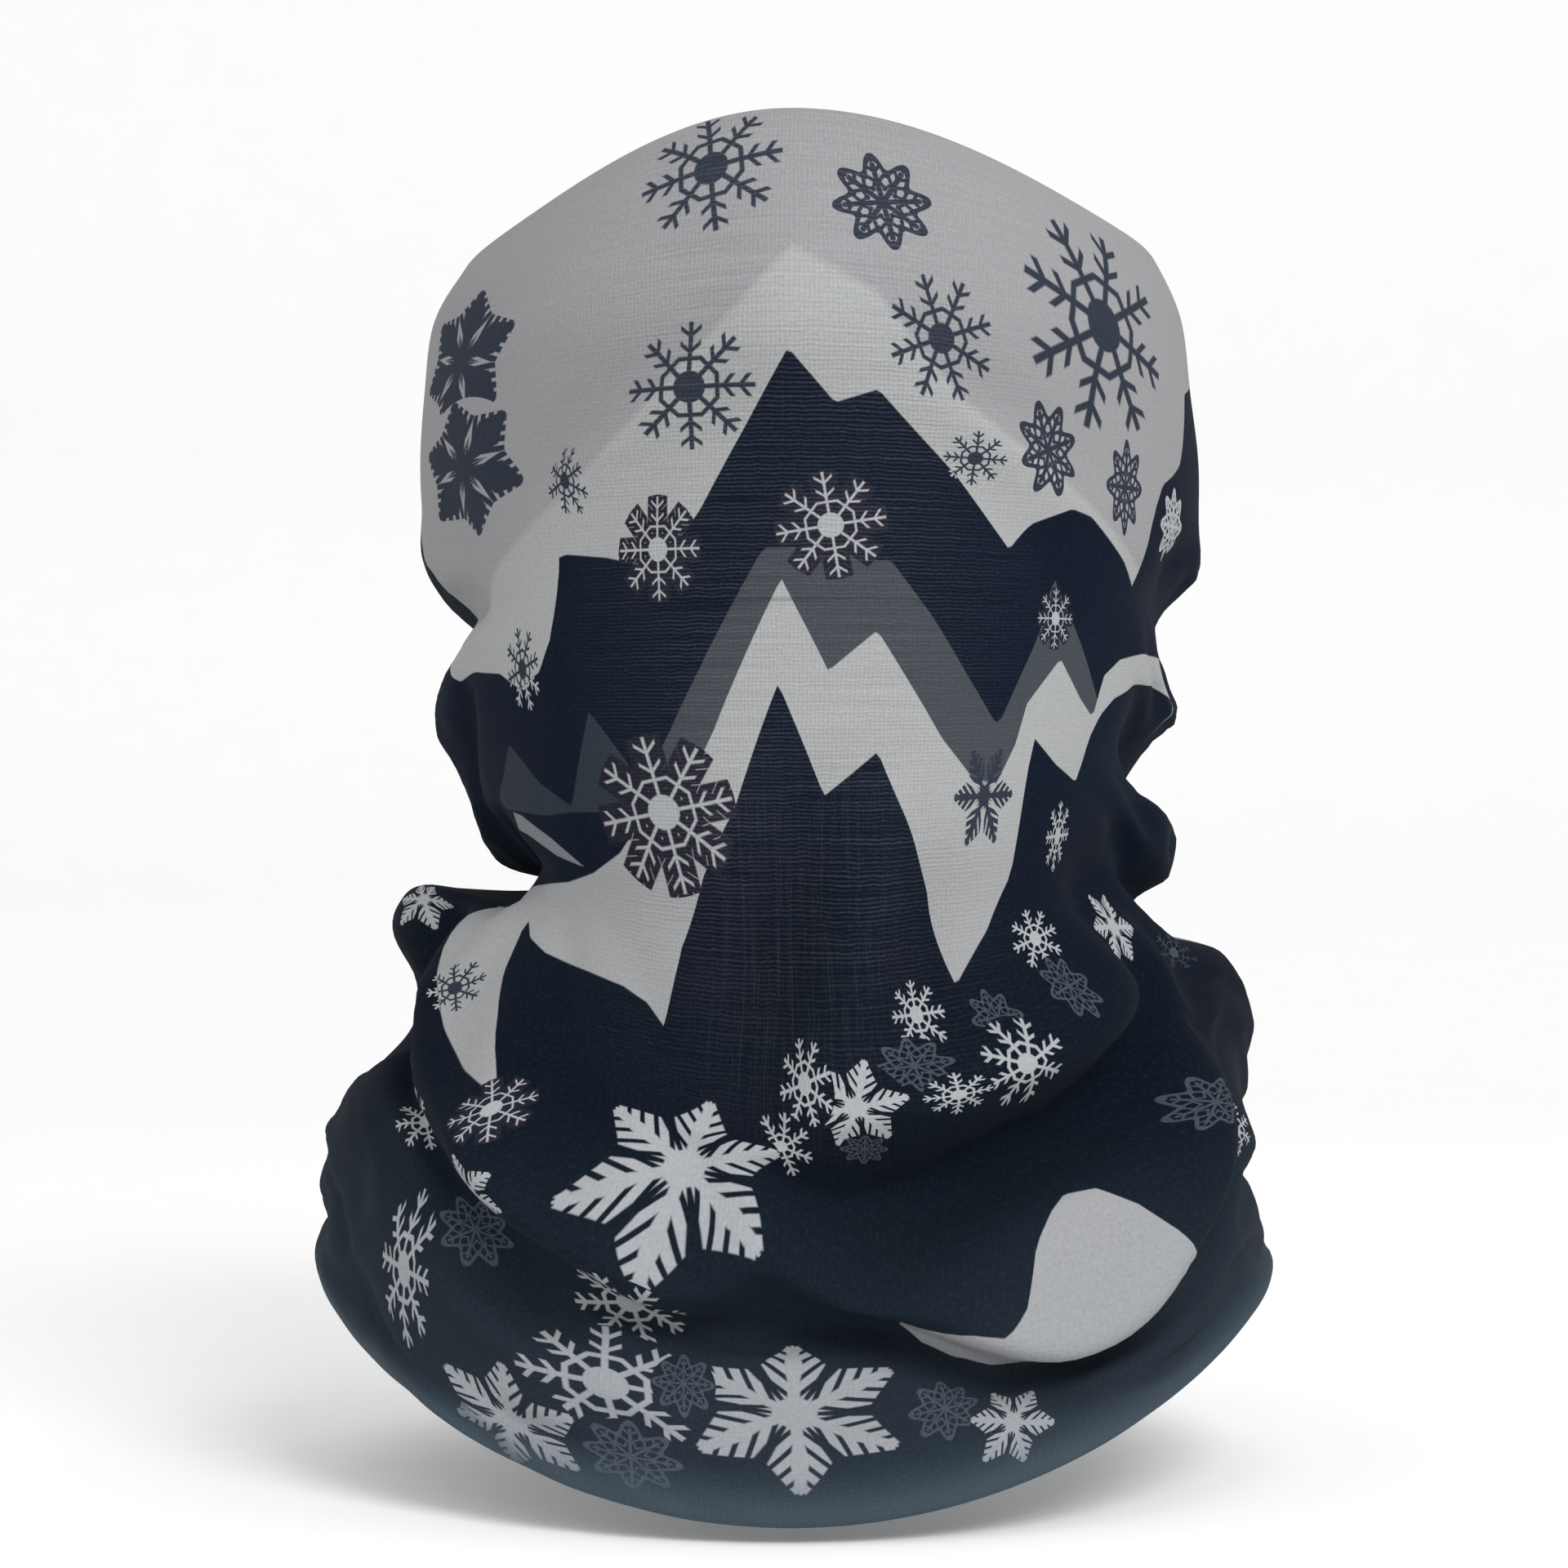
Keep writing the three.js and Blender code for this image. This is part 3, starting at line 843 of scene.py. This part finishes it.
def print_colours(graph, angle, along):
    """The print: mountains in layers under a pale sky, a snowdrift and snowflakes, with painted shade that
    darkens the inks lower down and a painted sheen that lightens them towards the hem.
    """
    def under(points, blur=PRINT_EDGE):
        return graph.below(graph.profile(angle, points), along, blur)

    # painted shade: the navy and snow inks darken lower down the cloth
    depth = graph.ramp(along, LOWER_SHADE_SPAN)
    navy = graph.mix(depth, NAVY, SHADED_NAVY)
    snow = graph.mix(depth, SNOW, SHADED_SNOW)
    colour = graph.mix(under(FAR_SLOPE, FAR_EDGE), SKY, SNOW)
    pale = 1.0
    for outline, ink, is_pale in (
        (GREAT_MOUNTAIN, navy, 0.0),
        (MIDDLE_SLOPE, GREY, 1.0),
        (NEAR_SNOW, snow, 1.0),
        (NEAR_MOUNTAIN, navy, 0.0),
    ):
        share = under(outline)
        colour = graph.mix(share, colour, ink)
        pale = graph.mix(share, pale, is_pale, "FLOAT")
    for top, bottom, ink, is_pale in (
        (FACETS_TOP, FACETS_BOTTOM, FACET, 0.0),
        (RIBBON_TOP, RIBBON_BOTTOM, RIBBON, 0.0),
        (WEDGE_TOP, WEDGE_BOTTOM, snow, 1.0),
        (DRIFT_TOP, DRIFT_BOTTOM, DRIFT, 1.0),
    ):
        share = under(top) * graph.below(along, graph.profile(angle, bottom), PRINT_EDGE)
        colour = graph.mix(share, colour, ink)
        pale = graph.mix(share, pale, is_pale, "FLOAT")
    ink, rim, rimmed, dim = flakes(graph, angle, along)
    flake_ink = graph.mix(graph.math("MULTIPLY", pale, 1.0 - rimmed), FLAKE_PALE, FLAKE_NAVY)
    flake_ink = graph.mix(dim, flake_ink, FLAKE_DIM)
    colour = graph.mix(rim, colour, FLAKE_RIM)
    colour = graph.mix(ink, colour, flake_ink)
    # painted sheen: the print lightens towards a pale blue down to the hem
    colour = graph.mix(graph.ramp(along, SHEEN_FADE_SPAN) * SHEEN_FADE_SHARE, colour, HEM_SHEEN_BLUE)
    return graph.mix(graph.ramp(along, HEM_SHEEN_SPAN) * HEM_SHEEN_SHARE, colour, HEM_SHEEN_BLUE)


def printed_knit():
    """The cloth's outer face: the print on a knit that is stretched tight over the face."""
    graph = Graph("printed_knit")
    flat = graph.add("ShaderNodeUVMap", uv_map="flat")
    split = graph.add("ShaderNodeSeparateXYZ", {0: flat}).socket.node
    across = Value(graph, split.outputs[0]) * (1 / MM)
    along = Value(graph, split.outputs[1]) * (-1 / MM)
    angle = graph.math("WRAP", across * (360 / FLAT_ROUND), REPEAT / 2, -REPEAT / 2)
    colour = print_colours(graph, angle, along)
    yarn = graph.vector("MULTIPLY", flat, (1 / MM, 1 / MM, 0.0))

    taut = graph.near(angle, *FACE_ACROSS) * graph.below(along, *FACE_BOTTOM)

    def over_face(everywhere, more):
        return everywhere + taut * more

    def patches(across_scale, along_scale, detail, roughness):
        place = graph.vector("MULTIPLY", yarn, (across_scale, along_scale, 0.0))
        return graph.noise(place, 1.0, detail, roughness)

    # the knit's columns and rows, its stretch marks and its mottle
    wander = patches(*WANDER)
    wale = graph.math("SINE", (across + wander * WANDER_ACROSS) * (2 * math.pi / WALE_PITCH))
    course = graph.math("SINE", (along + wander * WANDER_ALONG) * (2 * math.pi / COURSE_PITCH))
    columns, rows = wale * 0.5 + 0.5, course * 0.5 + 0.5
    stretch = patches(*STRETCH_MARKS)
    heather = patches(*HEATHER)
    crease = graph.near(along, *CREASE_REACH) * taut

    # the tone of the ink, and the bare yarn that shows through it
    tone = INK_TONE + (heather - 0.5) * MOTTLE - columns * rows * over_face(*PORE_SHADE)
    # painted shade: the ink darkens along the packing crease over the face
    tone = tone + (stretch - 0.5) * over_face(*STRETCH_SHADE) - crease * CREASE_PAINTED_SHADE
    chin = graph.near(angle, *CHIN_ACROSS) * graph.near(along, *CHIN_ALONG)
    streaks = graph.most(patches(*STREAKS) - STREAK_START, 0.0) * chin * columns
    shows = graph.most(rows * (stretch * MARK_GAIN - MARK_START) - ROW_START, 0.0)
    specks = graph.most(heather - 0.5, 0.0)
    bare = shows * taut * (heather * BARE_ROWS - BARE_LEAST)
    bare = bare + specks * BARE_SPECKS + streaks * BARE_STREAKS
    cloudy = patches(*CLOUDS)
    red, green = bare + cloudy * CLOUD_RED, bare + (1.0 - cloudy) * CLOUD_GREEN
    cast = graph.add("ShaderNodeCombineXYZ", {0: red, 1: green, 2: bare * BARE_BLUE})
    colour = graph.vector("ADD", graph.vector("SCALE", colour, None, None, tone), cast)

    height = wale * WALE_RISE + course * over_face(*COURSE_RISE)
    height = height + (stretch - 0.5) * over_face(*STRETCH_RISE) + heather * HEATHER_RISE
    matt = {"Roughness": 0.9, "Specular IOR Level": 0.03, "Sheen Weight": 0.012, "Sheen Roughness": 0.5}
    return graph.finish(colour, height - crease * CREASE_FALL, strength=0.55, depth=0.12, sockets=matt)


def plain_knit():
    """The cloth's inner face, where only a little of the print's ink has come through."""
    graph = Graph("plain_knit")
    flat = graph.add("ShaderNodeUVMap", uv_map="flat")
    yarn = graph.vector("MULTIPLY", flat, (1 / MM, 1 / MM, 0.0))
    split = graph.add("ShaderNodeSeparateXYZ", {0: yarn}).socket.node
    across, along = Value(graph, split.outputs[0]), Value(graph, split.outputs[1])
    rows = graph.math("SINE", along * (2 * math.pi / COURSE_PITCH))
    columns = graph.math("SINE", across * (2 * math.pi / WALE_PITCH))
    heather = graph.noise(graph.vector("MULTIPLY", yarn, (1.2, 0.8, 0.0)), 1.0, 3.0, 0.6)
    cloudy = graph.noise(graph.vector("MULTIPLY", yarn, (0.02, 0.02, 0.0)), 1.0, 3.0, 0.6)
    colour = graph.mix(cloudy, INNER_DARK, INNER_PALE)
    colour = graph.vector("SCALE", colour, None, None, 0.9 + heather * 0.2 + rows * 0.04)
    soft = {"Roughness": 0.9, "Sheen Weight": 0.15}
    return graph.finish(colour, rows + columns * 0.5 + heather, strength=0.6, depth=0.12, sockets=soft)


def thread_material():
    """A dark spun thread, twisted from two plies."""
    graph = Graph("overlock_thread")
    place = graph.add("ShaderNodeTexCoord", output=3)
    twist = graph.add("ShaderNodeTexWave", {"Vector": place, "Scale": 900.0, "Distortion": 1.5}, output=1)
    fuzz = graph.noise(place, 3000.0)
    colour = graph.mix(fuzz, THREAD_DARK, THREAD_PALE)
    spun = {"Roughness": 0.6, "Sheen Weight": 0.1}
    return graph.finish(colour, twist + fuzz, strength=0.6, depth=0.08, sockets=spun)


def ribbon_material():
    """White satin ribbon with nothing printed on it."""
    graph = Graph("label_ribbon")
    place = graph.add("ShaderNodeTexCoord", output=3)
    weave = graph.noise(graph.vector("MULTIPLY", place, (400.0, 400.0, 6000.0)), 1.0, 3.0)
    worn = graph.noise(place, 60.0, 3.0)
    colour = graph.mix(worn, RIBBON_WORN, RIBBON_CLEAN)
    satin = {"Roughness": 0.38, "Sheen Weight": 0.2}
    return graph.finish(colour, weave, strength=0.4, depth=0.05, sockets=satin)


def on_cloth(points, along, turns, height):
    """Places on the settled cloth: distances down it, shares of a turn round it, heights off its face."""
    outward = surface_frame(points)[0]
    rows, cols = points.shape[:2]
    row = np.clip(np.asarray(along) / FLAT_LONG * (rows - 1), 0, rows - 1.001)  # never on the last row
    col = np.asarray(turns) * cols
    j, i = np.floor(row).astype(int), np.floor(col).astype(int)
    down, across = (row - j)[:, None], (col - i)[:, None]

    def blend(grid):
        first = grid[j, i % cols] * (1 - across) + grid[j, (i + 1) % cols] * across
        second = grid[j + 1, i % cols] * (1 - across) + grid[j + 1, (i + 1) % cols] * across
        return first * (1 - down) + second * down

    return blend(points) + blend(outward) * np.asarray(height)[:, None]


def thread(name, places):
    """A closed loop of thread through the places."""
    data = bpy.data.curves.new(name, "CURVE")
    data.dimensions = "3D"
    data.bevel_depth = THREAD_RADIUS * MM
    data.bevel_resolution = 1
    spline = data.splines.new("POLY")
    spline.points.add(len(places) - 1)
    spline.points.foreach_set("co", np.hstack([places * MM, np.ones((len(places), 1))]).ravel())
    spline.use_cyclic_u = True
    return placed(name, data)


def overlock(edge_name, points, from_edge, material):
    """The three threads on one cut edge: the loopers zigzag on its two faces and the needle thread
    runs along the seam. from_edge turns a distance from the cut edge into one down the cloth."""
    stitch = np.arange(STITCHES * len(LOOP_REACH))
    turns = stitch / len(stitch)
    reach = SEAM_WIDTH * np.array(LOOP_REACH)[stitch % len(LOOP_REACH)]
    rise = THREAD_RADIUS + np.array(LOOP_LIFT)[stitch % len(LOOP_LIFT)]
    seam = np.full(len(stitch), SEAM_WIDTH + NEEDLE_RADII * THREAD_RADIUS)
    threads = {
        "upper_looper_thread": (reach, rise),
        "lower_looper_thread": (reach, -CLOTH_THICKNESS - rise),
        "needle_thread": (seam, rise),
    }
    for kind, (inwards, height) in threads.items():
        name = f"{edge_name}_{kind}"
        obj = thread(f"{name}_yarn", on_cloth(points, from_edge(inwards), turns, height))
        obj.data.materials.append(material)
        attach(obj, "root")
        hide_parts(name)


def care_label(points):
    """A blank ribbon caught in the bottom overlock at the back, leaning in past the roll above it."""
    cut_edge = points[-1, points.shape[1] // 2]
    part, across = np.meshgrid(
        np.linspace(0, 1, LABEL_STEPS_UP + 1),
        np.linspace(-0.5, 0.5, LABEL_STEPS_ACROSS + 1) * LABEL_WIDTH,
        indexing="ij",
    )
    bow = across**2 / (2 * LABEL_BOW)
    inwards = LABEL_STANDOFF + LABEL_LEAN * part**LABEL_CURL + bow
    up = (LABEL_RISE + SEAM_WIDTH) * part - SEAM_WIDTH
    places = cut_edge + np.stack([across, -inwards, up], axis=2)
    row = LABEL_STEPS_ACROSS + 1
    corners = [j * row + i for j in range(LABEL_STEPS_UP) for i in range(LABEL_STEPS_ACROSS)]
    faces = [(a, a + 1, a + row + 1, a + row) for a in corners]
    mesh = bpy.data.meshes.new("care_label_ribbon")
    mesh.from_pydata((places.reshape(-1, 3) * MM).tolist(), [], faces)
    mesh.polygons.foreach_set("use_smooth", [True] * len(faces))
    obj = placed("care_label_ribbon", mesh)
    thick = obj.modifiers.new("thick", "SOLIDIFY")
    thick.thickness = LABEL_THICKNESS * MM
    mesh.materials.append(ribbon_material())
    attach(obj, "root")
    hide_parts("care_label")


def floor():
    """A pale floor just under the gaiter, which curves up into a backdrop behind it."""
    level = CAD_BOX[0][2] - FLOOR_DROP
    sides = (-FLOOR_HALF_WIDTH, FLOOR_HALF_WIDTH)
    corners = [(x, y, level + z) for y, z in FLOOR_PROFILE for x in sides]
    faces = [(2 * k, 2 * k + 1, 2 * k + 3, 2 * k + 2) for k in range(len(FLOOR_PROFILE) - 1)]
    mesh = bpy.data.meshes.new("floor")
    mesh.from_pydata(corners, [], faces)
    mesh.polygons.foreach_set("use_smooth", [True] * len(faces))
    obj = placed("floor", mesh)
    graph = Graph("floor")
    grain = graph.noise(graph.add("ShaderNodeTexCoord", output=3), 40.0, 4.0)
    graph.connect(graph.mix(grain, FLOOR_DARK, FLOOR_PALE), graph.shader.inputs["Base Color"])
    graph.shader.inputs["Roughness"].default_value = 0.9
    graph.shader.inputs["Specular IOR Level"].default_value = 0.1
    mesh.materials.append(graph.material)


def camera():
    """The camera at the photograph's viewing angle, level with the chin."""
    data = bpy.data.cameras.new("camera")
    data.sensor_width = CAMERA_SENSOR
    data.lens = CAMERA_LENS
    obj = placed("camera", data)
    obj.location = CAMERA_PLACE
    obj.rotation_euler = (math.pi / 2, 0, 0)
    bpy.context.scene.camera = obj


def studio():
    """A plain white world and one large soft lamp above and to the right."""
    world = bpy.data.worlds.new("world")
    world.use_nodes = True
    background = world.node_tree.nodes["Background"]
    background.inputs["Color"].default_value = (1, 1, 1, 1)
    background.inputs["Strength"].default_value = 1.0
    bpy.context.scene.world = world
    bpy.context.scene.view_settings.view_transform = "Standard"
    data = bpy.data.lights.new("key", "AREA")
    data.shape = "DISK"
    data.size = LAMP_SIZE
    data.energy = LAMP_POWER
    lamp = placed("key", data)
    lamp.location = LAMP_PLACE
    towards = Vector(LAMP_TARGET) - Vector(LAMP_PLACE)
    lamp.rotation_euler = towards.to_track_quat("-Z", "Y").to_euler()


def knit_tube():
    """The printed tube as a sheet of cloth. Gives back its settled form too, for what is sewn to it."""
    form = cloth_form()
    cloth = grid_mesh("knit_tube_cloth", form)
    form = settle(cloth, form)
    smooth = cloth.modifiers.new("fine", "SUBSURF")
    smooth.levels = smooth.render_levels = 1
    thick = cloth.modifiers.new("thick", "SOLIDIFY")
    thick.thickness = CLOTH_THICKNESS * MM
    thick.offset = -1.0
    thick.material_offset = 1
    thick.material_offset_rim = 1
    cloth.data.materials.append(printed_knit())
    cloth.data.materials.append(plain_knit())
    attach(cloth, "root")
    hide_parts("knit_tube")
    return form


camera()
studio()
form = knit_tube()
stitching = thread_material()
overlock("top", form, lambda inwards: inwards, stitching)
overlock("bottom", form, lambda inwards: FLAT_LONG - inwards, stitching)
care_label(form)
floor()
